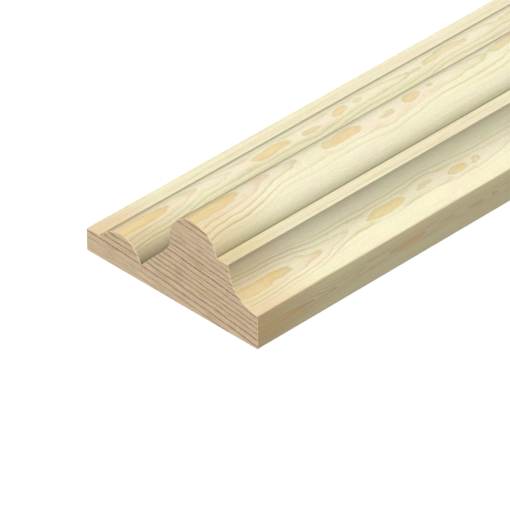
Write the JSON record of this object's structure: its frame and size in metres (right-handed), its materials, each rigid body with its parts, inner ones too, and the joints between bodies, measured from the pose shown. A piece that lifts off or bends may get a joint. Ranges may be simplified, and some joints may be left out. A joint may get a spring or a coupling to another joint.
{
  "type": "dado rail",
  "caption": "Straight length of softwood dado rail with a flat back, a rounded bead beside a narrow groove, a taller bead above a step and a cove cut into the thick edge.",
  "frame": {"origin": "centre of the flat back, halfway along the rail, in the plane of the back", "axes": "+X along the rail, +Y across its width toward the thin edge, +Z out from the back toward the moulded face"},
  "size_m": [2.4, 0.06, 0.027],
  "materials": {
    "pine": "planed and bare, matte"
  },
  "bodies": {
    "root": {"dado_rail": "pine"}
  },
  "joints": []
}
